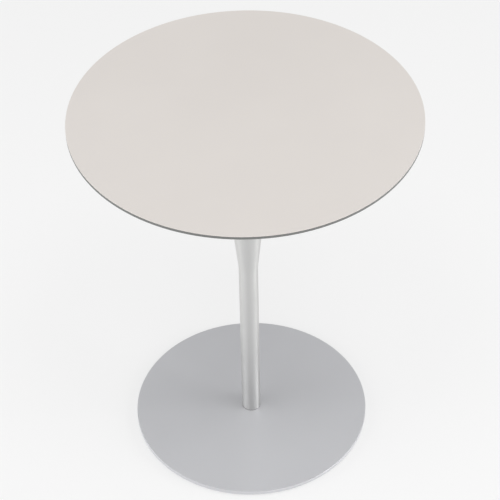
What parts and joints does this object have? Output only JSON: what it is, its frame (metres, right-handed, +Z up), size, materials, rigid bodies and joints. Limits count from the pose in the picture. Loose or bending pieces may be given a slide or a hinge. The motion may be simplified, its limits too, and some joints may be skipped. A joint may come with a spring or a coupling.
{
  "type": "pedestal table",
  "caption": "Round pedestal table: thin laminate top on a steel column that opens into a cone, standing on a flat disc base with levelling feet.",
  "frame": {"origin": "on the floor, on the column's axis", "axes": "+Z up along the column's axis; +X and +Y lie between the levelling feet, which stand at 45, 135, 225 and 315 degrees"},
  "size_m": [0.5999, 0.6, 0.725],
  "materials": {
    "top_decor": "satin, fine-textured warm light grey laminate",
    "top_core": "matt dark grey, sawn and sanded edge",
    "top_backing": "matt grey laminate",
    "column_metal": "satin",
    "base_metal": "satin silver-grey powder coat",
    "plate_metal": "satin silver-grey powder coat",
    "zinc_steel": "bright zinc plated",
    "brass": "turned",
    "black_rubber": "matt",
    "black_nylon": "matt"
  },
  "bodies": {
    "table": {"base_plate": "base_metal", "column_gasket": "black_rubber", "column_spigot": "zinc_steel", "spigot_pin": "zinc_steel", "column_shell": "column_metal", "tie_rod": "zinc_steel", "tie_rod_washer": "zinc_steel", "tie_rod_nut": "zinc_steel", "top_plate": "plate_metal", "weld_nut": "zinc_steel", "centering_ring": "plate_metal", "top_screws": "zinc_steel", "top_screw_washers": "zinc_steel", "threaded_inserts": "brass", "tabletop_core": "top_core", "decor_sheet": "top_decor", "backing_sheet": "top_backing"},
    "pad_1": {"foot_pad_1": "black_nylon"},
    "screw_1": {"foot_screw_1": "zinc_steel"},
    "pad_2": {"foot_pad_2": "black_nylon"},
    "screw_2": {"foot_screw_2": "zinc_steel"},
    "pad_3": {"foot_pad_3": "black_nylon"},
    "screw_3": {"foot_screw_3": "zinc_steel"},
    "pad_4": {"foot_pad_4": "black_nylon"},
    "screw_4": {"foot_screw_4": "zinc_steel"}
  },
  "joints": [
    {"name": "foot_1_travel", "type": "slide", "parent": "table", "child": "pad_1", "axis": [0, 0, -1], "range_m": [0, 0.0025]},
    {"name": "foot_1_turn", "type": "hinge", "parent": "pad_1", "child": "screw_1", "pos_m": [0.13435, 0.13435, 0.004], "axis": [0, 0, -1], "range_deg": [0, 720]},
    {"name": "foot_2_travel", "type": "slide", "parent": "table", "child": "pad_2", "axis": [0, 0, -1], "range_m": [0, 0.0025]},
    {"name": "foot_2_turn", "type": "hinge", "parent": "pad_2", "child": "screw_2", "pos_m": [-0.13435, 0.13435, 0.004], "axis": [0, 0, -1], "range_deg": [0, 720]},
    {"name": "foot_3_travel", "type": "slide", "parent": "table", "child": "pad_3", "axis": [0, 0, -1], "range_m": [0, 0.0025]},
    {"name": "foot_3_turn", "type": "hinge", "parent": "pad_3", "child": "screw_3", "pos_m": [-0.13435, -0.13435, 0.004], "axis": [0, 0, -1], "range_deg": [0, 720]},
    {"name": "foot_4_travel", "type": "slide", "parent": "table", "child": "pad_4", "axis": [0, 0, -1], "range_m": [0, 0.0025]},
    {"name": "foot_4_turn", "type": "hinge", "parent": "pad_4", "child": "screw_4", "pos_m": [0.13435, -0.13435, 0.004], "axis": [0, 0, -1], "range_deg": [0, 720]}
  ],
  "couplings": [
    {"joint": "foot_1_turn", "follows": "foot_1_travel", "rad_per_m": 5026.5},
    {"joint": "foot_2_turn", "follows": "foot_2_travel", "rad_per_m": 5026.5},
    {"joint": "foot_3_turn", "follows": "foot_3_travel", "rad_per_m": 5026.5},
    {"joint": "foot_4_turn", "follows": "foot_4_travel", "rad_per_m": 5026.5}
  ]
}
